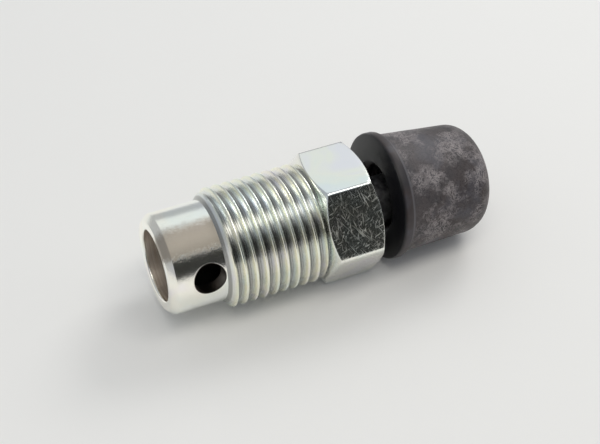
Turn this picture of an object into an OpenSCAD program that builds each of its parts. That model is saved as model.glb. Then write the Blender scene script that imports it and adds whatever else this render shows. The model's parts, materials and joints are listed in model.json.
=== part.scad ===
// Bleeder screw with a hollow, cross-drilled spigot, a thread, a hexagon and a barbed
// nipple, and the rubber dust cap that is pushed over the nipple.
// The screw's axis is X, from the spigot's open end at 0 towards the cap, and +Z is up.
// It lies on its thread and on one flat of its hexagon. The cap's lip is wider than
// both, so the cap droops on the nipple until its lip rests on the same surface.

/* [Spigot] */
// Outside diameter of the spigot
spigot_d = 13.4; // [11:0.1:13.6]
// Length of the spigot, from its end face to the shoulder below the thread
spigot_len = 7.4; // [6.4:0.1:12]
// How far the chamfer round the spigot's end cuts into its radius
end_chamfer = 0.75; // [0.2:0.05:0.9]
// Length of that chamfer along the axis
end_chamfer_len = 0.85; // [0.2:0.05:2]

/* [Thread] */
// Outside diameter of the thread
thread_d = 15.875; // [15.6:0.005:18]
// Turns of the thread in each 25.4 mm
threads_per_inch = 18; // [12:1:24]
// Length of the threaded stretch, from the spigot's shoulder to the hexagon
thread_len = 13.9; // [8:0.1:24]
// Distance from the spigot's shoulder to the middle of the first crest
lead_in = 0.8; // [0.7:0.05:1.5]

/* [Hexagon] */
// Width across the flats
hex_af = 15.875; // [15.6:0.005:20]
// Length of the hexagon along the axis
hex_len = 7.6; // [4:0.1:12]
// Diameter of the round face that the corner chamfers leave at each end
hex_face_d = 15.6; // [14.5:0.1:15.6]
// Angle of the corner chamfers to that face
hex_chamfer_angle = 30; // [15:1:40]

/* [Drillings] */
// Diameter of the bore in the spigot
bore_d = 9.5; // [7:0.1:10.5]
// Depth of the bore's straight wall
bore_depth = 12; // [9:0.5:18]
// Angle of the drill point at the bottom of the bore
drill_point_angle = 118; // [90:1:140]
// Diameter of the drilling on through the nipple
passage_d = 3; // [1.5:0.1:4]
// Diameter of the cross hole in the spigot's wall
cross_hole_d = 4.2; // [2:0.1:4.3]
// Distance of the cross hole's centre from the spigot's shoulder
cross_hole_back = 2.3; // [2.2:0.05:3]
// How far the cross hole points above level
cross_hole_rise = 12; // [-60:1:60]

/* [Nipple] */
// Diameter of the nipple's neck
neck_d = 6.6; // [5.5:0.1:7.2]
// Diameter over the nipple's barb
barb_d = 8.4; // [7.8:0.1:9.6]
// Distance from the hexagon to the widest ring of the barb
barb_reach = 12.3; // [11:0.1:15]
// Diameter of the nipple's tip
tip_d = 6; // [4.6:0.1:6.4]
// Length of the barb's taper, from its widest ring to the tip
tip_len = 1.8; // [1:0.1:2.6]

/* [Dust cap] */
// Diameter of the lip round the cap's mouth
lip_d = 17.3; // [16.4:0.1:18]
// Width of the lip's round bead
lip_w = 1.3; // [0.8:0.1:2]
// Diameter of the cap's body where it meets the lip
cap_d = 16.4; // [14.5:0.1:16.4]
// Taper of the body on each side
cap_taper = 3.2; // [0:0.1:5]
// Rounding of the closed end
cap_round = 3.2; // [1:0.1:4]
// Gap along the axis between the hexagon and the cap's mouth
cap_gap = 2.3; // [1.6:0.1:4]
// Thickness of the closed end
cap_end_wall = 2.6; // [1.5:0.1:5]
// Clearance between the cap's socket and the barb, on each side
cap_clearance = 0.05; // [0.02:0.01:0.1]
// Chamfer at the mouth of the socket
mouth_chamfer = 0.7; // [0.2:0.1:1.5]

/* [Hidden] */
$fn = 96;

spigot_r = spigot_d / 2;
thread_r = thread_d / 2;
bore_r = bore_d / 2;

// A unified thread's section: 60 degree flanks and a crest an eighth of the pitch wide.
pitch = 25.4 / threads_per_inch;
thread_depth = 0.6134 * pitch;
crest_half = pitch / 16;
flank_run = thread_depth * tan(30);
root_r = thread_r - thread_depth;
first_crest = spigot_len + lead_in;
crest_count = floor((thread_len - lead_in - crest_half) / pitch) + 1;

hex_x = spigot_len + thread_len;
hex_end = hex_x + hex_len;
hex_corner_r = hex_af / 2 / cos(30);
hex_face_r = hex_face_d / 2;
hex_chamfer_len = (hex_corner_r - hex_face_r) * tan(hex_chamfer_angle);

neck_r = neck_d / 2;
barb_r = barb_d / 2;
barb_x = hex_end + barb_reach;
drill_point_len = bore_r / tan(drill_point_angle / 2);
seam_turn = -33.75;

// The cap is drawn along its own axis, with the barb's widest ring at 0.
mouth = cap_gap - barb_reach;
bead_r = lip_w / 2;
bead_ring_r = lip_d / 2 - bead_r;
bead_at = mouth + bead_r;

// The surface that the thread and the hexagon lie on is rest_r below the axis. The cap
// turns about the barb until its bead touches that surface as well.
rest_r = max(thread_r, hex_af / 2);
droop = atan2(bead_ring_r, -bead_at) - asin((rest_r - bead_r) / norm([bead_at, bead_ring_r]));

// The socket clears the barb and, drooping, the nipple's tip.
socket_r = barb_r + cap_clearance;
socket_end = tip_len * cos(droop) + tip_d / 2 * sin(droop) + cap_clearance;
cap_end = socket_end + cap_end_wall;

// The rounding of the closed end is tangent to the tapered side.
round_at = cap_end - cap_round;
side_end = round_at + cap_round * sin(cap_taper);
side_end_r = cap_d / 2 - (side_end - bead_at) * tan(cap_taper);
round_ring_r = side_end_r - cap_round * cos(cap_taper);

steel = [0.76, 0.78, 0.77];
rubber = [0.13, 0.12, 0.13];

// Outline of the spigot and the thread, as [radius, distance along the axis].
// Each turn of the thread is a ridge of the thread's true section at its true pitch.
function shank_outline() = concat(
    [
        [0, 0],
        [spigot_r - end_chamfer, 0],
        [spigot_r, end_chamfer_len],
        [spigot_r, spigot_len]
    ],
    [
        for (turn = [0 : crest_count - 1])
            let (crest = first_crest + turn * pitch)
                each [
                    [root_r, crest - crest_half - flank_run],
                    [thread_r, crest - crest_half],
                    [thread_r, crest + crest_half],
                    [root_r, crest + crest_half + flank_run]
                ]
    ],
    [
        [root_r, hex_x + hex_len / 2],
        [0, hex_x + hex_len / 2]
    ]
);

// The turn about the axis only moves the seam of the turned faces, away from the cross hole.
module shank() {
    rotate(seam_turn)
        rotate_extrude()
            polygon(shank_outline());
}

// Hexagonal bar with a flat below, and its corners chamfered at both ends.
module hexagon() {
    intersection() {
        translate([0, 0, hex_x])
            rotate(30)
                cylinder(r = hex_corner_r, h = hex_len, $fn = 6);
        rotate_extrude()
            polygon([
                [0, hex_x],
                [hex_face_r, hex_x],
                [hex_corner_r, hex_x + hex_chamfer_len],
                [hex_corner_r, hex_end - hex_chamfer_len],
                [hex_face_r, hex_end],
                [0, hex_end]
            ]);
    }
}

// Neck and barb, turned in one piece with the hexagon.
module nipple() {
    rotate_extrude()
        polygon([
            [0, hex_end - hex_len / 2],
            [neck_r, hex_end - hex_len / 2],
            [neck_r, barb_x - (barb_r - neck_r)],
            [barb_r, barb_x],
            [tip_d / 2, barb_x + tip_len],
            [0, barb_x + tip_len]
        ]);
}

// Bore in the spigot with its drill point, and the drilling on through the nipple.
module drillings() {
    translate([0, 0, -1])
        cylinder(r = bore_r, h = bore_depth + 1);
    translate([0, 0, bore_depth])
        cylinder(r1 = bore_r, r2 = 0, h = drill_point_len);
    translate([0, 0, bore_depth])
        cylinder(d = passage_d, h = barb_x + tip_len + 1 - bore_depth);
}

// The cross hole goes through the near wall only, into the bore.
module cross_hole() {
    translate([spigot_len - cross_hole_back, 0, 0])
        rotate([90 - cross_hole_rise, 0, 0])
            cylinder(d = cross_hole_d, h = spigot_r + 1);
}

module bleeder_body() {
    color(steel)
        difference() {
            rotate([0, 90, 0])
                difference() {
                    union() {
                        shank();
                        hexagon();
                        nipple();
                    }
                    drillings();
                }
            cross_hole();
        }
}

// Cap moulded in one piece: a beaded lip, a tapered body and a well rounded end.
module cap_outside() {
    rotate_extrude()
        union() {
            polygon([
                [0, mouth],
                [bead_ring_r, mouth],
                [bead_ring_r, bead_at],
                [cap_d / 2, bead_at],
                [side_end_r, side_end],
                [round_ring_r, round_at],
                [round_ring_r, cap_end],
                [0, cap_end]
            ]);
            translate([bead_ring_r, bead_at])
                circle(r = bead_r);
            translate([round_ring_r, round_at])
                intersection() {
                    circle(r = cap_round);
                    square([cap_round, cap_round]);
                }
        }
}

// Blind socket that the nipple goes into, with a chamfered mouth.
module cap_socket() {
    translate([0, 0, mouth - 1])
        cylinder(r = socket_r, h = socket_end - mouth + 1);
    translate([0, 0, mouth])
        cylinder(r1 = socket_r + mouth_chamfer, r2 = socket_r, h = mouth_chamfer);
}

module dust_cap() {
    color(rubber)
        translate([barb_x, 0, 0])
            rotate([0, 90 + droop, 0])
                difference() {
                    cap_outside();
                    cap_socket();
                }
}

bleeder_body();
dust_cap();
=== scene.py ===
import json
import math

import bmesh
import bpy
from mathutils import Matrix, Vector, noise


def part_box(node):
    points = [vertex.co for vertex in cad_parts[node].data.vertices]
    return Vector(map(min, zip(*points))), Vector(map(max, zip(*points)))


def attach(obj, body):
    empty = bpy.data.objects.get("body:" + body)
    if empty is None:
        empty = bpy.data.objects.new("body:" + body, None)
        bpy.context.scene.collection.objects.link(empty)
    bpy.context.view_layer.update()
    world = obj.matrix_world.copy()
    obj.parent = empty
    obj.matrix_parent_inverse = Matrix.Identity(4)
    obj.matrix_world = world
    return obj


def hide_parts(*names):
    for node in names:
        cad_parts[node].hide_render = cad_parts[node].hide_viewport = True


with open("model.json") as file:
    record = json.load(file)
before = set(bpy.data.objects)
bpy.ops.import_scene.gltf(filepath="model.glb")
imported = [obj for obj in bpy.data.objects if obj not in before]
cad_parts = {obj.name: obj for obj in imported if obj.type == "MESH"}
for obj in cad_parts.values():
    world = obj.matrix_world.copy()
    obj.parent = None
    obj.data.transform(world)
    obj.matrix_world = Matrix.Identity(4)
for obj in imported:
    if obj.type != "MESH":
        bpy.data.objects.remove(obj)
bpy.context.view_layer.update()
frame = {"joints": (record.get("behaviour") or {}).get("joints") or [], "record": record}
print("frame loaded")

# lengths below are in millimetres, as the real screw measures, and meshes are in metres
mm = 0.001
columns = 192  # round the axis, a multiple of 12 so that the hexagon's corners fall on some
mounts = {mount["name"]: mount for mount in frame["record"]["mounts"]}


def mountSize(name, key):
    return mounts[name]["dims"][key]


def mountPlace(name, axis):
    return mounts[name]["pos_m"][axis] / mm


# Sockets and trees

class Wire:
    # a socket of a node tree, on which the usual operators add Math nodes
    def __init__(self, builder, socket):
        self.builder = builder
        self.socket = socket

    def math(self, operation, *values):
        return self.builder.calculate(operation, self, *values)

    def __add__(self, other):
        return self.math("ADD", other)

    def __radd__(self, other):
        return self.builder.calculate("ADD", other, self)

    def __sub__(self, other):
        return self.math("SUBTRACT", other)

    def __rsub__(self, other):
        return self.builder.calculate("SUBTRACT", other, self)

    def __mul__(self, other):
        return self.math("MULTIPLY", other)

    def __rmul__(self, other):
        return self.builder.calculate("MULTIPLY", other, self)

    def __truediv__(self, other):
        return self.math("DIVIDE", other)

    def __pow__(self, other):
        return self.math("POWER", other)

    def __mod__(self, other):
        return self.math("FLOORED_MODULO", other)


class Builder:
    # adds nodes to a tree: the settings come first, then the values or links of the sockets
    def __init__(self, tree):
        self.tree = tree

    def plug(self, socket, value):
        if isinstance(value, Wire):
            self.tree.links.new(value.socket, socket)
        else:
            socket.default_value = value

    def node(self, kind, settings=None, sockets=None, output=0):
        made = self.tree.nodes.new(kind)
        for name, value in (settings or {}).items():
            if name == "stops":
                self.setStops(made.color_ramp, value)
            elif name == "choices":
                self.addChoices(made, value)
            else:
                setattr(made, name, value)
        for name, value in (sockets or {}).items():
            self.plug(made.inputs[name], value)
        return Wire(self, made.outputs[output])

    def setStops(self, ramp, stops):
        while len(ramp.elements) < len(stops):
            ramp.elements.new(1.0)
        for element, (place, colour) in zip(ramp.elements, stops):
            element.position = place
            element.color = (*colour, 1.0)

    def addChoices(self, made, values):
        made.index_switch_items.clear()
        for value in values:
            made.index_switch_items.new()
        for place, value in enumerate(values):
            made.inputs[place + 1].default_value = value

    def calculate(self, operation, *values):
        sockets = dict(enumerate(values))
        return self.node("ShaderNodeMath", {"operation": operation}, sockets)

    def mixColours(self, amount, first, second):
        sockets = {0: amount, 6: first, 7: second}
        return self.node("ShaderNodeMix", {"data_type": "RGBA"}, sockets, output=2)

    def ramp(self, value, stops):
        return self.node("ShaderNodeValToRGB", {"stops": stops}, {"Fac": value})

    def mask(self, value, low, high):
        # 0 below low, 1 above high, and smooth between
        sockets = {"Value": value, "From Min": low, "From Max": high}
        return self.node("ShaderNodeMapRange", {"interpolation_type": "SMOOTHSTEP"}, sockets)

    def combine(self, x, y, z):
        return self.node("ShaderNodeCombineXYZ", None, {0: x, 1: y, 2: z})

    def separate(self, place):
        parts = self.node("ShaderNodeSeparateXYZ", None, {0: place})
        return [Wire(self, output) for output in parts.socket.node.outputs]

    def noise(self, place, scale, detail=3.0, roughness=0.55, distortion=0.0):
        sockets = {
            "Vector": place,
            "Scale": scale,
            "Detail": detail,
            "Roughness": roughness,
            "Distortion": distortion,
        }
        return self.node("ShaderNodeTexNoise", None, sockets)

    def turned(self, place, angles, scale):
        # turned first, so that the stretch that follows lies along the turned axes
        sockets = {"Vector": place, "Rotation": angles}
        place = self.node("ShaderNodeVectorRotate", {"rotation_type": "EULER_XYZ"}, sockets)
        return self.node("ShaderNodeVectorMath", {"operation": "MULTIPLY"}, {0: place, 1: scale})

    def bump(self, height, strength, distance, normal=None):
        sockets = {"Height": height, "Strength": strength, "Distance": distance * mm}
        if normal:
            sockets["Normal"] = normal
        return self.node("ShaderNodeBump", None, sockets)

    def finish(self, kind, name, value):
        # adds the tree's output node and links the value to its named socket
        self.plug(self.tree.nodes.new(kind).inputs[name], value)


# Materials

class Place:
    # the place on the piece in millimetres, its distance from the axis and its turn about it
    def __init__(self, builder):
        place = builder.node("ShaderNodeTexCoord", output="Object")
        sockets = {0: place, "Scale": 1 / mm}
        self.vector = builder.node("ShaderNodeVectorMath", {"operation": "SCALE"}, sockets)
        self.x, self.y, self.z = builder.separate(self.vector)
        self.radius = (self.y * self.y + self.z * self.z) ** 0.5
        self.turn = self.z.math("ARCTAN2", self.y)


def newMaterial(name):
    material = bpy.data.materials.new(name)
    material.use_nodes = True
    material.node_tree.nodes.clear()
    return material, Builder(material.node_tree)


def finishMaterial(builder, sockets):
    shader = builder.node("ShaderNodeBsdfPrincipled", None, sockets)
    builder.finish("ShaderNodeOutputMaterial", "Surface", shader)


def finishPlate(builder, colour, rough, normal, metallic=1.0):
    finishMaterial(builder, {
        "Metallic": metallic,
        "Base Color": colour,
        "Roughness": rough,
        "Normal": normal,
    })


def filmTint(builder, place, settings):
    # the plate's passivated film: broad drifts of pale blue, green, straw and lavender
    drift = builder.noise(place.vector, settings["tintScale"], detail=2.0, distortion=0.6)
    tints = builder.ramp(drift, [
        (0.30, (0.62, 0.74, 0.88)),
        (0.44, (0.70, 0.84, 0.76)),
        (0.56, (0.90, 0.86, 0.66)),
        (0.70, (0.78, 0.70, 0.88)),
    ])
    return builder.mixColours(settings["tintStrength"], settings["base"], tints)


def turnedMarks(builder, place, scales, detail):
    # noise drawn out round the axis, as a lathe leaves it
    along, around, outward = scales
    spread = builder.combine(place.x * along, place.turn * around, place.radius * outward)
    return builder.noise(spread, 1.0, detail=detail)


def scratches(builder, place, settings):
    # fine lines in several directions, each a noise drawn out along its own line
    total = None
    leanX, leanZ = settings["leans"]
    for count, angle in enumerate(settings["angles"]):
        angles = (leanX * count, angle, leanZ * count)
        turned = builder.turned(place.vector, angles, settings["stretch"])
        line = builder.noise(turned, settings["scale"], detail=1.0, roughness=0.4)
        line = builder.mask(line, *settings["edge"])
        total = line if total is None else total.math("MAXIMUM", line)
    return total


def makeSpigotPlate():
    settings = {
        "base": (0.91, 0.90, 0.86, 1.0),
        "dull": (0.52, 0.46, 0.39, 1.0),
        "frosted": (0.36, 0.32, 0.275, 1.0),
        "tintScale": 0.16,
        "tintStrength": 0.22,
        "grainScale": 2.6,
        "grainBump": (0.22, 0.08),
        "frostScale": 9.0,
        "speckleEdge": (0.5, 0.72),
        "speckleStrength": 0.35,
        "bandStart": (1.66, 1.86),  # turns about the axis
        "bandEnd": (2.32, 2.40),
        "bandRagged": (0.60, 0.30),  # by the frost and by the grain
        "bandStrength": 0.9,
        "bandRoughness": 0.42,
        "roughLow": 0.10,
        "roughHigh": 0.28,
        "markScales": (14.0, 0.7, 0.0),
        "markBump": (0.10, 0.03),
    }
    material, builder = newMaterial("spigotPlate")
    place = Place(builder)
    grain = builder.noise(place.vector, settings["grainScale"], detail=6.0, roughness=0.72)
    frost = builder.noise(place.vector, settings["frostScale"], detail=4.0, roughness=0.7)
    colour = filmTint(builder, place, settings)
    specks = builder.mask(frost, *settings["speckleEdge"])
    colour = builder.mixColours(specks * settings["speckleStrength"], colour, settings["dull"])
    # a band along the side above the cross hole has come out of the bath frosted
    byFrost, byGrain = settings["bandRagged"]
    ragged = place.turn + (frost - 0.5) * byFrost + (grain - 0.5) * byGrain
    past = builder.mask(ragged, *settings["bandEnd"])
    band = builder.mask(ragged, *settings["bandStart"]) * (1.0 - past)
    colour = builder.mixColours(band * settings["bandStrength"], colour, settings["frosted"])
    rough = settings["roughLow"] + (settings["roughHigh"] - settings["roughLow"]) * frost
    rough = rough + band * settings["bandRoughness"]
    marks = turnedMarks(builder, place, settings["markScales"], detail=2.0)
    normal = builder.bump(grain, *settings["grainBump"])
    normal = builder.bump(marks, *settings["markBump"], normal)
    finishPlate(builder, colour, rough, normal)
    return material


def makeThreadPlate():
    settings = {
        "base": (0.87, 0.88, 0.81, 1.0),
        "flank": (0.58, 0.60, 0.66, 1.0),
        # painted shade: near black for the thread's roots
        "root": (0.24, 0.24, 0.23, 1.0),
        "straw": (0.84, 0.80, 0.58, 1.0),
        "tintScale": 0.20,
        "tintStrength": 0.36,
        "flankEdge": (0.62, 0.15),  # depths below the crest, as in the next two edges
        "flankStrength": 0.5,
        "rootEdge": (0.86, 0.66),
        "rootStrength": 0.75,
        "strawEdge": (0.12, 0.01),
        "strawStrength": 0.35,
        "roughLow": 0.15,
        "roughRange": 0.20,
        "grainScales": (5.0, 2.4, 5.0),
        "grainBump": (0.12, 0.05),
        "streakScales": (16.0, 0.9, 8.0),
        "streakBump": (0.14, 0.03),
    }
    material, builder = newMaterial("threadPlate")
    place = Place(builder)

    def above(edge):
        # 0 below an edge between two depths, and 1 above it
        low, high = (mountSize("thread", "r_mm") - depth for depth in settings[edge])
        return builder.mask(place.radius, low, high)

    grain = turnedMarks(builder, place, settings["grainScales"], detail=4.0)
    streak = turnedMarks(builder, place, settings["streakScales"], detail=3.0)
    high = above("flankEdge")
    flank = (1.0 - high) * settings["flankStrength"]
    # painted shade: darker towards the roots between the turns
    root = (1.0 - above("rootEdge")) * settings["rootStrength"]
    straw = (1.0 - above("strawEdge")) * high * settings["strawStrength"]
    colour = filmTint(builder, place, settings)
    colour = builder.mixColours(flank, colour, settings["flank"])
    colour = builder.mixColours(root, colour, settings["root"])
    colour = builder.mixColours(straw, colour, settings["straw"])
    rough = settings["roughLow"] + settings["roughRange"] * streak
    normal = builder.bump(streak, *settings["streakBump"])
    normal = builder.bump(grain, *settings["grainBump"], normal)
    finishPlate(builder, colour, rough, normal)
    return material


def makeHexagonPlate():
    settings = {
        "base": (0.78, 0.80, 0.78, 1.0),
        "worn": (0.93, 0.91, 0.86, 1.0),
        "soiled": (0.42, 0.38, 0.35, 1.0),
        "tintScale": 0.17,
        "tintStrength": 0.26,
        "scratch": {
            "angles": (0.25, 0.7, 1.1, 1.5, 1.9, 2.35, 2.8),
            "leans": (0.3, 0.15),
            "stretch": (0.30, 5.0, 6.5),
            "scale": 1.0,
            "edge": (0.625, 0.77),
        },
        "scuffedEdge": (0.45, 0.60),  # sideways share of the way out from the axis
        "leastScuffed": 0.12,
        "speckleScale": 4.5,
        "speckleEdge": (0.56, 0.70),
        "speckleStrength": 0.5,
        "wornStrength": 0.4,
        "soiledEdge": (-2.5, -0.5),  # heights
        "soiledStrength": 0.2,
        "roughLow": 0.11,
        "roughScuffed": 0.28,
        "roughDrift": 0.08,
        "driftScale": 1.4,
        "scuffBump": (0.13, 0.03),
        "fineScale": 7.0,
        "fineBump": (0.06, 0.03),
    }
    material, builder = newMaterial("hexagonPlate")
    place = Place(builder)
    # the side flats are scuffed, and the flats above and below far less
    sideways = place.y.math("ABSOLUTE") / place.radius
    scuffed = builder.mask(sideways, *settings["scuffedEdge"])
    lines = scratches(builder, place, settings["scratch"])
    speckle = builder.noise(place.vector, settings["speckleScale"], detail=5.0, roughness=0.75)
    speckle = builder.mask(speckle, *settings["speckleEdge"]) * settings["speckleStrength"]
    marks = lines.math("MAXIMUM", speckle)
    least = settings["leastScuffed"]
    amount = marks * (least + (1 - least) * scuffed)
    # darker towards the bottom of the hexagon
    below = 1.0 - builder.mask(place.z, *settings["soiledEdge"])
    colour = filmTint(builder, place, settings)
    colour = builder.mixColours(amount * settings["wornStrength"], colour, settings["worn"])
    colour = builder.mixColours(below * settings["soiledStrength"], colour, settings["soiled"])
    drift = builder.noise(place.vector, settings["driftScale"])
    rough = settings["roughLow"] + settings["roughScuffed"] * amount
    rough = rough + settings["roughDrift"] * drift
    fine = builder.noise(place.vector, settings["fineScale"], detail=5.0, roughness=0.7)
    normal = builder.bump(amount, *settings["scuffBump"])
    normal = builder.bump(fine, *settings["fineBump"], normal)
    finishPlate(builder, colour, rough, normal)
    return material


def makeBorePlate():
    settings = {
        "dull": (0.74, 0.64, 0.55),
        "bright": (1.0, 0.93, 0.85),
        "deep": (0.02, 0.018, 0.018, 1.0),
        "deepEdge": (2.2, 4.4),  # along the axis
        "deepStrength": 0.93,
        "ringScales": (9.0, 0.6, 6.0),
        "ringBump": (0.3, 0.04),
        "roughLow": 0.28,
        "roughRange": 0.2,
    }
    material, builder = newMaterial("borePlate")
    place = Place(builder)
    rings = turnedMarks(builder, place, settings["ringScales"], detail=3.0)
    colour = builder.ramp(rings, [(0.3, settings["dull"]), (0.7, settings["bright"])])
    # painted shade: the bore darkens to near black deeper along the axis
    deep = builder.mask(place.x, *settings["deepEdge"]) * settings["deepStrength"]
    colour = builder.mixColours(deep, colour, settings["deep"])
    rough = settings["roughLow"] + settings["roughRange"] * rings
    finishPlate(builder, colour, rough, builder.bump(rings, *settings["ringBump"]))
    return material


def makeNeckShadePlate():
    # painted shade: the plate under the cap is painted near black and dark grey, where it lies deep
    # in the gap between the hexagon and the cap
    settings = {
        "black": (0.035, 0.035, 0.04),
        "grey": (0.16, 0.16, 0.165),
        "stainScale": 1.1,
        "stainBump": (0.2, 0.05),
        "roughLow": 0.35,
        "roughRange": 0.25,
        "metallic": 0.8,
    }
    material, builder = newMaterial("neckPlate")
    place = Place(builder)
    shadeMottle = builder.noise(place.vector, settings["stainScale"], detail=4.0, roughness=0.65)
    # painted shade, mottled between near black and dark grey
    colour = builder.ramp(shadeMottle, [(0.35, settings["black"]), (0.70, settings["grey"])])
    rough = settings["roughLow"] + settings["roughRange"] * shadeMottle
    normal = builder.bump(shadeMottle, *settings["stainBump"])
    finishPlate(builder, colour, rough, normal, settings["metallic"])
    return material


def makeCapRubber():
    settings = {
        "black": (0.012, 0.010, 0.012),
        "brown": (0.032, 0.023, 0.022),
        "charcoal": (0.045, 0.042, 0.051),
        "talc": (0.42, 0.38, 0.38, 1.0),
        "dust": (0.20, 0.195, 0.215, 1.0),
        "face": (0.004, 0.004, 0.006, 1.0),
        "specular": 0.28,
        "driftScale": 0.22,
        # edges along the cap's axis, from its mouth
        "faceEdge": (0.1, 0.45),
        "lipEdge": (0.25, 0.6),
        "lineStart": (1.45, 1.7),
        "lineEnd": (1.7, 2.0),
        "bodyEdge": (1.6, 2.3),
        "lipRadii": (7.5, 8.2),
        "lipStrength": 0.10,
        "lineStrength": 0.35,
        # talc lies in curls and specks, thick in some patches and thin between them
        "patchScale": 0.30,
        "patchEdge": (0.42, 0.62),
        "thinTalc": 0.12,
        "curlScale": 0.95,
        "curlDistortion": 2.2,
        "curlNarrow": 11.0,
        "curlEdge": (0.25, 0.85),
        "speckScale": 4.6,
        "speckEdge": (0.54, 0.68),
        "speckStrength": 0.7,
        "talcStrength": 0.62,
        "talcBump": (0.25, 0.08),
        # a film of dust with a painted sheen, paler and bluish more towards the top
        "filmEdge": (1.0, 8.0),
        "filmShares": (0.25, 0.5),
        "filmStrength": 0.42,
        "roughLow": 0.44,
        "roughTalc": 0.30,
        "roughFilm": 0.12,
        "fineScale": 8.0,
        "fineBump": (0.20, 0.05),
    }
    material, builder = newMaterial("capRubber")
    place = Place(builder)
    droop = capSize["droop"]
    along = (place.x - screwSize["barbX"]) * math.cos(droop) - place.z * math.sin(droop)

    def behind(edge):
        # 0 before an edge along the cap's axis, and 1 behind it
        start, end = (capSize["mouth"] + distance for distance in settings[edge])
        return builder.mask(along, start, end)

    def flecks(name, detail, roughness, distortion=0.0):
        return builder.noise(place.vector, settings[name], detail, roughness, distortion)

    onBody = behind("bodyEdge")
    line = behind("lineStart") * (1.0 - behind("lineEnd"))
    onLip = behind("lipEdge") * builder.mask(place.radius, *settings["lipRadii"])
    patch = builder.mask(flecks("patchScale", 4.0, 0.6), *settings["patchEdge"])
    curl = flecks("curlScale", 5.0, 0.74, settings["curlDistortion"])
    curl = 1.0 - (curl - 0.5).math("ABSOLUTE") * settings["curlNarrow"]
    curl = builder.mask(curl, *settings["curlEdge"])
    specks = builder.mask(flecks("speckScale", 4.0, 0.7), *settings["speckEdge"])
    chalk = curl.math("MAXIMUM", specks * settings["speckStrength"])
    chalk = chalk * (settings["thinTalc"] + (1 - settings["thinTalc"]) * patch) * onBody
    leastFilm, patchFilm = settings["filmShares"]
    film = builder.mask(place.z, *settings["filmEdge"]) * (leastFilm + patchFilm * patch) * onBody
    # dust with a painted highlight: a light line behind the lip, and the lip a little paler
    lipDustAndSheen = line * settings["lineStrength"] + onLip * settings["lipStrength"]

    drift = builder.noise(place.vector, settings["driftScale"], detail=3.0)
    colour = builder.ramp(drift, [
        (0.36, settings["black"]),
        (0.52, settings["brown"]),
        (0.66, settings["charcoal"]),
    ])
    # dust and painted sheen, paler towards the top
    colour = builder.mixColours(film * settings["filmStrength"], colour, settings["dust"])
    colour = builder.mixColours(lipDustAndSheen, colour, settings["dust"])
    colour = builder.mixColours(1.0 - behind("faceEdge"), colour, settings["face"])
    colour = builder.mixColours(chalk * settings["talcStrength"], colour, settings["talc"])
    rough = settings["roughLow"] + settings["roughTalc"] * chalk + settings["roughFilm"] * film
    normal = builder.bump(chalk, *settings["talcBump"])
    normal = builder.bump(flecks("fineScale", 4.0, 0.65), *settings["fineBump"], normal)
    finishMaterial(builder, {
        "Specular IOR Level": settings["specular"],
        "Base Color": colour,
        "Roughness": rough,
        "Normal": normal,
    })
    return material


# Rings of points round the axis, which stand for every turned surface

def roundPoint(x, radius, angle):
    return Vector((x, radius * math.cos(angle), radius * math.sin(angle)))


def roundRing(x, radius):
    step = 2 * math.pi / columns
    return [roundPoint(x, radius, column * step) for column in range(columns)]


def softened(outline):
    # each corner (x, radius, size) of an outline gives way to a small curve of that size
    points = []
    for before, corner, after in zip(outline, outline[1:], outline[2:]):
        middle = Vector(corner[:2])
        back = Vector(before[:2]) - middle
        ahead = Vector(after[:2]) - middle
        size = min(corner[2], 0.4 * back.length, 0.4 * ahead.length)
        if size == 0:
            points.append(tuple(middle))
            continue
        start = middle + back.normalized() * size
        end = middle + ahead.normalized() * size
        points += [tuple(start), tuple((start + end + 2 * middle) / 4), tuple(end)]
    return [tuple(outline[0][:2])] + points + [tuple(outline[-1][:2])]


def addRings(mesh, rings):
    return [[mesh.verts.new(point) for point in ring] for ring in rings]


def joinRings(mesh, rows, materialIndex, gap=None):
    # gap is the rows and columns that are left out, as (first row, last row, first, last column)
    for row, (lower, upper) in enumerate(zip(rows, rows[1:])):
        for column in range(columns):
            if gap and gap[0] <= row < gap[1] and gap[2] <= column < gap[3]:
                continue
            following = (column + 1) % columns
            corners = (lower[column], lower[following], upper[following], upper[column])
            mesh.faces.new(corners).material_index = materialIndex


def turnedSurface(mesh, outline, materialIndex):
    rings = [roundRing(x, radius) for x, radius in softened(outline)]
    joinRings(mesh, addRings(mesh, rings), materialIndex)


# The screw's body

screwSize = {
    "spigotRadius": mountSize("spigot", "r_mm"),
    "boreRadius": mountSize("inlet_bore", "r_mm"),
    "boreDepth": mountSize("inlet_bore", "length_mm"),
    "threadRadius": mountSize("thread", "r_mm"),
    "threadStart": mountPlace("thread", 0) - mountSize("thread", "length_mm") / 2,
    "hexStart": mountPlace("thread", 0) + mountSize("thread", "length_mm") / 2,
    "flatHeight": mountPlace("hex_flat_up", 2),
    "bodyEnd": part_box("bleeder_body")[1].x / mm,
    "endChamfer": 0.75,
    "endChamferLength": 0.85,
    "mouthBreak": 0.16,
    "mouthLength": 0.46,  # of the bore that is drawn with the spigot's outside
    "edgeBreak": 0.07,
    "hexFaceRadius": 7.8,
    "hexChamferAngle": 30.0,
    "hexCornerRound": 0.6,
    "hexCornerColumns": 2,  # on each side of a corner
    "hexLengthSteps": 12,
    "neckRadius": 3.3,
    "neckFillet": 0.25,
    "barbRadius": 4.2,
    "tipRadius": 3.0,
    "tipLength": 1.8,
    "passageRadius": 1.5,
    "drillPointAngle": 118.0,
}
screwSize["hexEnd"] = 2 * mountPlace("hex_flat_up", 0) - screwSize["hexStart"]
screwSize["barbX"] = screwSize["bodyEnd"] - screwSize["tipLength"]

threadSize = {
    "pitch": 25.4 / 18,
    "depthShare": 0.6134,  # of the pitch
    "firstCrest": 0.8,  # from the spigot's shoulder to the first crest, at the camera's side
    "leadInAngle": 52.0,
    "reliefLength": 0.10,
    "flankSlope": math.sqrt(3),
    "turns": 12,
    "turnMargin": 0.0001,  # so that a whole turn doesn't round down
}

# half a turn's section, from the middle of a crest, as (share of the pitch, share of the depth)
crestCorner = (0.075, 0.972)
rootCorner = (0.400, 0.060)


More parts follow.
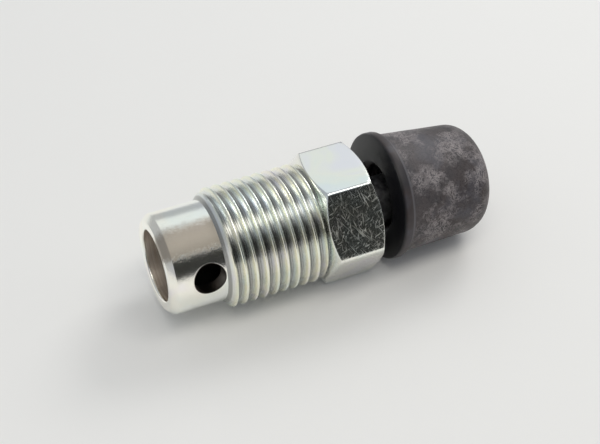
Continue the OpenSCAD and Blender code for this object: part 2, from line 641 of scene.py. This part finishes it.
def sectionRise(share):
    # depth at a share of the pitch from the crest's middle, straight down the flank
    slope = (rootCorner[1] - crestCorner[1]) / (rootCorner[0] - crestCorner[0])
    return crestCorner[1] + (share - crestCorner[0]) * slope


def threadSection():
    # one turn, from the root behind a crest to just before the next one
    flank = [(share, sectionRise(share)) for share in (0.155, 0.235, 0.320)]
    half = [(0.045, 1.0), crestCorner, *flank, rootCorner, (0.445, 0.012)]
    behind = [(-share, rise) for share, rise in reversed(half)]
    return [(-0.5, 0.0), *behind, *half]


def buildThread(material):
    section = threadSection()
    tree = bpy.data.node_groups.new("threadTurns", "GeometryNodeTree")
    builder = Builder(tree)
    inputs = {
        "Pitch": threadSize["pitch"] * mm,
        "Depth": threadSize["depthShare"] * threadSize["pitch"] * mm,
        "Outer Radius": screwSize["threadRadius"] * mm,
        "Foot Radius": screwSize["spigotRadius"] * mm,
        "Start": screwSize["threadStart"] * mm,
        "End": screwSize["hexStart"] * mm,
        "First Crest": (threadSize["firstCrest"] - threadSize["pitch"]) * mm,
        "Lead In Slope": math.tan(math.radians(threadSize["leadInAngle"])),
        "Relief": threadSize["reliefLength"] * mm,
        "Rows": threadSize["turns"] * len(section) + 1,
        "Columns": columns + 1,
    }
    sockets = {}
    for name, value in inputs.items():
        kind = "NodeSocketInt" if isinstance(value, int) else "NodeSocketFloat"
        sockets[name] = tree.interface.new_socket(name, in_out="INPUT", socket_type=kind)
    tree.interface.new_socket("Geometry", in_out="OUTPUT", socket_type="NodeSocketGeometry")
    entry = tree.nodes.new("NodeGroupInput")
    given = {name: Wire(builder, entry.outputs[name]) for name in inputs}

    sheet = builder.node(
        "GeometryNodeMeshGrid",
        None,
        {"Size X": 1.0, "Size Y": 1.0, "Vertices X": given["Rows"], "Vertices Y": given["Columns"]},
    )
    sheetX, sheetY = builder.separate(builder.node("GeometryNodeInputPosition"))[:2]
    around = sheetY + 0.5
    row = ((sheetX + 0.5) * (given["Rows"] - 1.0)).math("ROUND")
    step = row % float(len(section))
    turn = (row / float(len(section)) + threadSize["turnMargin"]).math("FLOOR")

    def sectionValue(column):
        settings = {"data_type": "FLOAT", "choices": [point[column] for point in section]}
        return builder.node("GeometryNodeIndexSwitch", settings, {0: step})

    # a row follows the right-hand helix, and stops at the shoulder and at the hexagon
    helix = turn + sectionValue(0) + around
    wanted = given["Start"] + given["First Crest"] + given["Pitch"] * (helix - 0.5)
    x = wanted.math("MAXIMUM", given["Start"]).math("MINIMUM", given["End"])
    root = given["Outer Radius"] - given["Depth"]
    radius = root + given["Depth"] * sectionValue(1)
    leadIn = given["Foot Radius"] + (x - given["Start"]) * given["Lead In Slope"]
    before = (given["End"] - given["Relief"] - x).math("MAXIMUM", 0.0)
    relief = root + before * threadSize["flankSlope"]
    radius = radius.math("MINIMUM", leadIn).math("MINIMUM", relief)
    angle = around * (2 * math.pi)
    laid = builder.combine(x, radius * angle.math("COSINE"), radius * angle.math("SINE"))
    shaped = builder.node("GeometryNodeSetPosition", None, {"Geometry": sheet, "Position": laid})
    realized = builder.node("GeometryNodeRealizeInstances", None, {"Geometry": shaped})
    named = {"Geometry": realized, "Material": material}
    finished = builder.node("GeometryNodeSetMaterial", None, named)
    builder.finish("NodeGroupOutput", "Geometry", finished)

    holder = bpy.data.objects.new("threadHolder", bpy.data.meshes.new("threadHolder"))
    bpy.context.scene.collection.objects.link(holder)
    modifier = holder.modifiers.new("threadTurns", "NODES")
    modifier.node_group = tree
    for name, value in inputs.items():
        modifier[sockets[name].identifier] = value
    bpy.context.view_layer.update()
    evaluated = holder.evaluated_get(bpy.context.evaluated_depsgraph_get())
    threadMesh = bpy.data.meshes.new_from_object(evaluated)
    bpy.data.objects.remove(holder)
    return threadMesh


# The cross hole is a patch of rings that fills a gap left in the spigot's and the bore's rows

holeSize = {
    "x": screwSize["threadStart"] - 2.3,
    "radius": 2.1,
    "rise": 12.0,
    "edgeBreak": 0.09,
    "boreBreak": 0.04,
    "wallRing": 0.5,  # below the spigot's outside
    "points": 96,
    "patchStart": 2.65,
    "patchEnd": 7.34,
    "outerRows": 24,
    "outerColumns": 24,
    "borePatchEnd": 7.54,
    "boreRows": 14,
    "boreColumns": 34,
    "ringShares": (0.25, 0.5, 0.72, 0.88, 1.0),  # of the way from the gap's edge to the hole
}
holeAngle = math.radians(180 - holeSize["rise"])


def firstHoleColumn(width):
    return round(holeAngle / (2 * math.pi) * columns) - width // 2


def gapEdge(rows, columnsWide):
    # the gap's outline as (row, column), from the middle of its far side and round
    middle = columnsWide // 2
    route = [(rows, column) for column in range(middle, columnsWide + 1)]
    route += [(row, columnsWide) for row in range(rows - 1, -1, -1)]
    route += [(0, column) for column in range(columnsWide - 1, -1, -1)]
    route += [(row, 0) for row in range(1, rows + 1)]
    route += [(rows, column) for column in range(1, middle)]
    return route


def holeLoop(reach, surfaceRadius):
    # where the drill, widened to reach, meets a cylinder, as (x, turn) pairs
    loop = []
    for count in range(holeSize["points"]):
        way = 2 * math.pi * count / holeSize["points"]
        x = holeSize["x"] + reach * math.cos(way)
        turn = holeAngle + math.asin(reach * math.sin(way) / surfaceRadius)
        loop.append((x, turn))
    return loop


def joinLoops(mesh, first, second, materialIndex):
    for count in range(len(first)):
        following = (count + 1) % len(first)
        corners = (first[count], first[following], second[following], second[count])
        mesh.faces.new(corners).material_index = materialIndex


def fillGap(mesh, rows, firstRow, size, surfaceRadius, reach, materialIndex):
    # rings from the gap's edge in to the hole, all on the cylinder, and returns the last one
    height, width = size
    firstColumn = firstHoleColumn(width)
    route = gapEdge(height, width)
    edge = [rows[firstRow + row][firstColumn + column] for row, column in route]
    step = 2 * math.pi / columns
    outside = [(vertex.co.x, (firstColumn + column) * step)
               for vertex, (row, column) in zip(edge, route)]
    inside = holeLoop(reach, surfaceRadius)
    previous = edge
    for share in holeSize["ringShares"]:
        loop = []
        for (farX, farTurn), (nearX, nearTurn) in zip(outside, inside):
            x = farX + (nearX - farX) * share
            turn = farTurn + (nearTurn - farTurn) * share
            loop.append(mesh.verts.new(roundPoint(x, surfaceRadius, turn)))
        joinLoops(mesh, previous, loop, materialIndex)
        previous = loop
    return previous


def holeWall(mesh, outer, inner, materialIndex):
    # edge break, straight wall and inner edge break of the drilling
    broken = holeSize["edgeBreak"]
    steps = [
        (0.3 * broken, screwSize["spigotRadius"] - 0.25 * broken),
        (0.0, screwSize["spigotRadius"] - broken),
        (0.0, screwSize["spigotRadius"] - holeSize["wallRing"]),
        (0.0, screwSize["boreRadius"] + broken),
    ]
    previous = outer
    for widening, surfaceRadius in steps:
        points = holeLoop(holeSize["radius"] + widening, surfaceRadius)
        loop = [mesh.verts.new(roundPoint(x, surfaceRadius, turn)) for x, turn in points]
        joinLoops(mesh, previous, loop, materialIndex)
        previous = loop
    joinLoops(mesh, previous, inner, materialIndex)


def evenSteps(start, end, count):
    return [start + (end - start) * step / count for step in range(count + 1)]


def buildSpigot(mesh, plate, inside):
    outer = screwSize["spigotRadius"]
    bore = screwSize["boreRadius"]
    small = screwSize["edgeBreak"]
    start = holeSize["patchStart"]
    end = holeSize["patchEnd"]
    endFaceRadius = outer - screwSize["endChamfer"]
    mouth = softened([
        (screwSize["mouthLength"], bore, 0),
        (screwSize["mouthBreak"], bore, small),
        (0.0, bore + screwSize["mouthBreak"], small),
        (0.0, endFaceRadius, small),
        (screwSize["endChamferLength"], outer, small),
        (start, outer, 0),
    ])
    outline = mouth[:-1] + [(x, outer) for x in evenSteps(start, end, holeSize["outerRows"])]
    outline.append((screwSize["threadStart"], outer))
    rows = addRings(mesh, [roundRing(x, radius) for x, radius in outline])
    firstRow = len(mouth) - 1
    width = holeSize["outerColumns"]
    column = firstHoleColumn(width)
    gap = (firstRow, firstRow + holeSize["outerRows"], column, column + width)
    joinRings(mesh, rows, plate, gap)
    reach = holeSize["radius"] + holeSize["edgeBreak"]
    size = (holeSize["outerRows"], width)
    outerLoop = fillGap(mesh, rows, firstRow, size, outer, reach, plate)

    steps = evenSteps(start, holeSize["borePatchEnd"], holeSize["boreRows"])
    wall = [(x, bore) for x in steps]
    outline = [(screwSize["mouthLength"], bore), *wall, (screwSize["boreDepth"], bore)]
    rows = addRings(mesh, [roundRing(x, radius) for x, radius in outline])
    width = holeSize["boreColumns"]
    column = firstHoleColumn(width)
    gap = (1, 1 + holeSize["boreRows"], column, column + width)
    joinRings(mesh, rows, inside, gap)
    size = (holeSize["boreRows"], width)
    reach = holeSize["radius"] + holeSize["boreBreak"]
    innerLoop = fillGap(mesh, rows, 1, size, bore, reach, inside)
    holeWall(mesh, outerLoop, innerLoop, inside)


def hexagonPoint(column):
    # (y, z) on the hexagon's outline, with a small round at each corner
    side, step = divmod(column, columns // 6)
    half = columns // 12
    flat = screwSize["flatHeight"]
    halfSide = flat * math.tan(math.radians(30))
    roundSize = screwSize["hexCornerRound"]
    straight = halfSide - roundSize * math.tan(math.radians(30))
    fromMiddle = step - half
    middleAngle = math.radians(60 * side + 30)
    outward = Vector((math.cos(middleAngle), math.sin(middleAngle)))
    sideways = Vector((-outward.y, outward.x))
    inner = half - screwSize["hexCornerColumns"]
    if abs(fromMiddle) <= inner:
        return outward * flat + sideways * straight * fromMiddle / inner
    turned = math.radians(30 * (abs(fromMiddle) - inner) / screwSize["hexCornerColumns"])
    sign = math.copysign(1, fromMiddle)
    height = flat - roundSize + roundSize * math.cos(turned)
    across = sign * (straight + roundSize * math.sin(turned))
    return outward * height + sideways * across


def chamferStart(radius):
    # how far along the axis the corner chamfer's cone reaches that radius
    slope = math.tan(math.radians(screwSize["hexChamferAngle"]))
    return max(0.0, radius - screwSize["hexFaceRadius"]) * slope


def hexagonRing(startX, direction, inward, along):
    # the hexagon's outline where the chamfer meets it, drawn inward and along by small steps
    ring = []
    for column in range(columns):
        point = hexagonPoint(column)
        radius = point.length
        shrunk = point * (radius - inward) / radius
        x = startX + direction * (chamferStart(radius - inward) + along)
        ring.append(Vector((x, shrunk.x, shrunk.y)))
    return ring


def buildHexagon(mesh, plate):
    start = screwSize["hexStart"]
    end = screwSize["hexEnd"]
    face = screwSize["hexFaceRadius"]
    small = screwSize["edgeBreak"]
    root = screwSize["threadRadius"] - threadSize["depthShare"] * threadSize["pitch"]
    near = [
        roundRing(start, root),
        roundRing(start, face - 0.8 * small),
        roundRing(start + 0.3 * small, face - 0.1 * small),
        roundRing(start + chamferStart(face + 0.5 * small), face + 0.5 * small),
        hexagonRing(start, 1, small, 0.0),
        hexagonRing(start, 1, 0.2 * small, 0.35 * small),
        hexagonRing(start, 1, 0.0, small),
    ]
    far = [
        hexagonRing(end, -1, 0.0, small),
        hexagonRing(end, -1, 0.2 * small, 0.35 * small),
        hexagonRing(end, -1, small, 0.0),
        roundRing(end - chamferStart(face + 0.5 * small), face + 0.5 * small),
        roundRing(end - 0.3 * small, face - 0.1 * small),
        roundRing(end, face - 0.8 * small),
        roundRing(end, screwSize["neckRadius"] + screwSize["neckFillet"]),
    ]
    length = []
    for share in evenSteps(0.0, 1.0, screwSize["hexLengthSteps"])[1:-1]:
        length.append([a.lerp(b, share) for a, b in zip(near[-1], far[0])])
    joinRings(mesh, addRings(mesh, near + length + far), plate)


def buildNipple(mesh, plate, inside):
    neck = screwSize["neckRadius"]
    fillet = screwSize["neckFillet"]
    barb = screwSize["barbRadius"]
    barbX = screwSize["barbX"]
    tipX = screwSize["bodyEnd"]
    tip = screwSize["tipRadius"]
    passage = screwSize["passageRadius"]
    small = screwSize["edgeBreak"]
    turnedSurface(mesh, [
        (screwSize["hexEnd"], neck + fillet, 0),
        (screwSize["hexEnd"] + fillet, neck, 0.4 * fillet),
        (barbX - (barb - neck), neck, small),
        (barbX, barb, small),
        (tipX, tip, 2 * small),
        (tipX, passage + small, small),
        (tipX - small, passage, 0),
    ], plate)
    pointAngle = math.radians(screwSize["drillPointAngle"] / 2)
    boreEnd = screwSize["boreDepth"]
    passageStart = boreEnd + (screwSize["boreRadius"] - passage) / math.tan(pointAngle)
    turnedSurface(mesh, [
        (tipX - small, passage, 0),
        (passageStart, passage, small),
        (boreEnd, screwSize["boreRadius"], 0),
    ], inside)


closing = {
    "mergeDistance": 0.002,
    "leastArea": 1e-9,
    "sharpAngle": 38.0,
}


def closedObject(mesh, name, materials, place=None):
    # merges the seams, turns every face outwards and makes the piece, in metres
    bmesh.ops.remove_doubles(mesh, verts=mesh.verts, dist=closing["mergeDistance"])
    thin = [face for face in mesh.faces if face.calc_area() < closing["leastArea"]]
    bmesh.ops.delete(mesh, geom=thin, context="FACES_ONLY")
    bmesh.ops.recalc_face_normals(mesh, faces=mesh.faces)
    mesh.transform(Matrix.Scale(mm, 4) @ (place or Matrix.Identity(4)))
    data = bpy.data.meshes.new(name)
    openEdges = [edge for edge in mesh.edges if not edge.is_manifold]
    print(name, "has", len(mesh.faces), "faces and", len(openEdges), "open edges")
    mesh.to_mesh(data)
    mesh.free()
    for material in materials:
        data.materials.append(material)
    data.polygons.foreach_set("use_smooth", [True] * len(data.polygons))
    data.set_sharp_from_angle(angle=math.radians(closing["sharpAngle"]))
    piece = bpy.data.objects.new(name, data)
    bpy.context.scene.collection.objects.link(piece)
    return piece


def buildScrew():
    materials = [
        makeSpigotPlate(),
        makeThreadPlate(),
        makeHexagonPlate(),
        makeBorePlate(),
        makeNeckShadePlate(),
    ]
    threadMesh = buildThread(materials[1])
    mesh = bmesh.new()
    mesh.from_mesh(threadMesh)
    mesh.transform(Matrix.Scale(1 / mm, 4))
    for face in mesh.faces:
        face.material_index = 1
    buildSpigot(mesh, plate=0, inside=3)
    buildHexagon(mesh, plate=2)
    buildNipple(mesh, plate=4, inside=3)
    piece = closedObject(mesh, "screwBody", materials)
    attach(piece, "screw")
    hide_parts("bleeder_body")


# The dust cap, drawn along its own axis with the barb's widest ring at 0

capAxis = frame["joints"][0]["axis"]
capSize = {
    "droop": math.atan2(-capAxis[2], capAxis[0]),
    "mouth": -10.0,
    "end": 4.62,
    "lipRadius": 8.6,
    "lipWidth": 1.35,
    "bodyRadius": 8.1,
    "taper": 3.2,
    "endRound": 3.2,
    "socketRadius": 4.25,
    "socketEnd": 2.07,
    "mouthChamfer": 0.7,
    "stepLength": 0.15,  # of the step behind the lip
    "sideStart": 0.3,  # behind the lip
    "steps": 10,
    "unevenness": 0.05,
    "swellScales": (0.16, 0.5),
}
lipBack = capSize["mouth"] + capSize["lipWidth"]


def capOutline():
    taper = math.radians(capSize["taper"])
    roundX = capSize["end"] - capSize["endRound"]
    sideEnd = roundX + capSize["endRound"] * math.sin(taper)
    sideEndRadius = capSize["bodyRadius"] - (sideEnd - lipBack) * math.tan(taper)
    ringRadius = sideEndRadius - capSize["endRound"] * math.cos(taper)
    mouthRadius = capSize["socketRadius"] + capSize["mouthChamfer"]
    outline = [
        (capSize["socketEnd"], 0.0, 0),
        (capSize["socketEnd"], capSize["socketRadius"], 0.3),
        (capSize["mouth"] + capSize["mouthChamfer"], capSize["socketRadius"], 0.1),
        (capSize["mouth"], mouthRadius, 0.15),
        (capSize["mouth"], capSize["lipRadius"], 0.42),
        (lipBack, capSize["lipRadius"], 0.35),
        (lipBack + capSize["stepLength"], capSize["bodyRadius"], 0.1),
        (sideEnd, sideEndRadius, 0),
    ]
    sideSteps = evenSteps(lipBack + capSize["sideStart"], sideEnd, capSize["steps"])[1:-1]
    side = [(x, capSize["bodyRadius"] - (x - lipBack) * math.tan(taper)) for x in sideSteps]
    points = softened(outline)
    points[-1:-1] = side
    for way in evenSteps(taper, math.pi / 2, capSize["steps"])[1:]:
        x = roundX + capSize["endRound"] * math.sin(way)
        points.append((x, ringRadius + capSize["endRound"] * math.cos(way)))
    return points + [(capSize["end"], 0.6 * ringRadius), (capSize["end"], 0.0)]


def buildCap():
    mesh = bmesh.new()
    rings = []
    for x, radius in capOutline():
        ring = roundRing(x, radius)
        if x > lipBack and radius > capSize["socketRadius"]:
            for point in ring:
                broad, narrow = (noise.noise(point * scale) for scale in capSize["swellScales"])
                shrink = 1 - capSize["unevenness"] * (0.6 + broad + 0.5 * narrow) / radius
                point.y *= shrink
                point.z *= shrink
        rings.append(ring)
    joinRings(mesh, addRings(mesh, rings), 0)
    turned = Matrix.Rotation(capSize["droop"], 4, "Y")
    place = Matrix.Translation((screwSize["barbX"], 0, 0)) @ turned
    piece = closedObject(mesh, "dustCap", [makeCapRubber()], place)
    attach(piece, "cap")
    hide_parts("dust_cap")


# Floor, light and camera

studio = {
    "floorZ": mountPlace("hex_flat_down", 2),
    "floorSize": 2500.0,
    "floorColour": (0.845, 0.84, 0.832, 1.0),
    "fibreColour": (0.72, 0.71, 0.70, 1.0),
    "fibreScale": 0.05,
    "fibreStrength": 0.10,
    "mirroredColour": (1.0, 0.99, 0.97, 1.0),
    "paperScale": 0.6,
    "paperBump": (0.06, 0.2),
    "worldColour": (0.93, 0.96, 1.0, 1.0),
    "worldStrength": 0.51,
    "backdropColour": (0.86, 0.86, 0.86, 1.0),
}
lamps = [
    # name, place, aimed at, size, watts, colour
    ("keyPanel", (315, 180, 285), (20, 0, 0), (200, 150), 0.52, (1.0, 0.985, 0.96)),
    ("windowPanel", (50, -130, 400), (20, 0, 0), (420, 150), 0.60, (1.0, 0.965, 0.87)),
    ("farPanel", (130, 300, 320), (20, 0, 0), (420, 260), 0.145, (0.93, 1.0, 0.97)),
]
darkCard = {
    # stands where the room before the object is dark, and only reflections see it
    "centre": (60.0, -300.0, 160.0),
    "width": 640.0,
    "height": 310.0,
    "colour": (0.02, 0.021, 0.02, 1.0),
}
cameraPlace = {
    "eye": (-37.48, -127.58, 125.77),
    "target": (19.01, -2.79, 2.91),
    "roll": -0.31,
    "lens": 85.76,
}


def makeFloor():
    material, builder = newMaterial("paperFloor")
    place = Place(builder)
    fibres = builder.noise(place.vector, studio["fibreScale"], detail=5.0)
    amount = fibres * studio["fibreStrength"]
    colour = builder.mixColours(amount, studio["floorColour"], studio["fibreColour"])
    # paler where the steel mirrors it
    mirrored = builder.node("ShaderNodeLightPath", output="Is Glossy Ray")
    colour = builder.mixColours(mirrored, colour, studio["mirroredColour"])
    paper = builder.noise(place.vector, studio["paperScale"], detail=4.0)
    normal = builder.bump(paper, *studio["paperBump"])
    finishMaterial(builder, {"Base Color": colour, "Roughness": 0.9, "Normal": normal})
    bpy.ops.mesh.primitive_plane_add(size=studio["floorSize"] * mm)
    floor = bpy.context.active_object
    floor.name = "paperFloor"
    floor.location.z = studio["floorZ"] * mm
    floor.data.materials.append(material)


def makeLamps():
    for name, place, aim, size, watts, colour in lamps:
        lamp = bpy.data.lights.new(name, "AREA")
        lamp.shape = "RECTANGLE"
        lamp.size, lamp.size_y = (length * mm for length in size)
        lamp.energy = watts
        lamp.color = colour
        holder = bpy.data.objects.new(name, lamp)
        holder.location = Vector(place) * mm
        way = Vector(aim) - Vector(place)
        holder.rotation_euler = way.to_track_quat("-Z", "Y").to_euler()
        bpy.context.scene.collection.objects.link(holder)


def makeDarkCard():
    material, builder = newMaterial("darkCard")
    finishMaterial(builder, {"Base Color": darkCard["colour"], "Roughness": 1.0})
    half = Vector((darkCard["width"] / 2, 0, darkCard["height"] / 2))
    centre = Vector(darkCard["centre"])
    ways = ((-1, -1), (1, -1), (1, 1), (-1, 1))
    corners = [centre + Vector((side * half.x, 0, level * half.z)) for side, level in ways]
    data = bpy.data.meshes.new("darkCard")
    data.from_pydata([corner * mm for corner in corners], [], [(0, 1, 2, 3)])
    data.materials.append(material)
    card = bpy.data.objects.new("darkCard", data)
    card.visible_camera = False
    card.visible_diffuse = False
    card.visible_shadow = False
    bpy.context.scene.collection.objects.link(card)


def makeWorld():
    world = bpy.data.worlds.new("studioWorld")
    world.use_nodes = True
    world.node_tree.nodes.clear()
    builder = Builder(world.node_tree)
    seen = builder.node("ShaderNodeLightPath", output="Is Camera Ray")
    light = builder.node(
        "ShaderNodeBackground",
        None,
        {"Color": studio["worldColour"], "Strength": studio["worldStrength"]},
    )
    backdrop = builder.node("ShaderNodeBackground", None, {"Color": studio["backdropColour"]})
    mixed = builder.node("ShaderNodeMixShader", None, {0: seen, 1: light, 2: backdrop})
    builder.finish("ShaderNodeOutputWorld", "Surface", mixed)
    bpy.context.scene.world = world


def makeCamera():
    camera = bpy.data.cameras.new("photoCamera")
    camera.sensor_width = 36.0
    camera.lens = cameraPlace["lens"]
    camera.clip_start = 0.01
    camera.clip_end = 10.0
    holder = bpy.data.objects.new("photoCamera", camera)
    eye = Vector(cameraPlace["eye"])
    way = Vector(cameraPlace["target"]) - eye
    level = way.to_track_quat("-Z", "Y").to_matrix()
    holder.location = eye * mm
    roll = Matrix.Rotation(math.radians(-cameraPlace["roll"]), 3, "Z")
    holder.rotation_euler = (level @ roll).to_euler()
    bpy.context.scene.collection.objects.link(holder)
    bpy.context.scene.camera = holder


makeCamera()
print("camera placed")
buildScrew()
print("screw built")
buildCap()
print("cap built")
makeFloor()
makeLamps()
makeDarkCard()
makeWorld()
print("studio set")

bpy.context.scene.view_settings.view_transform = "Standard"
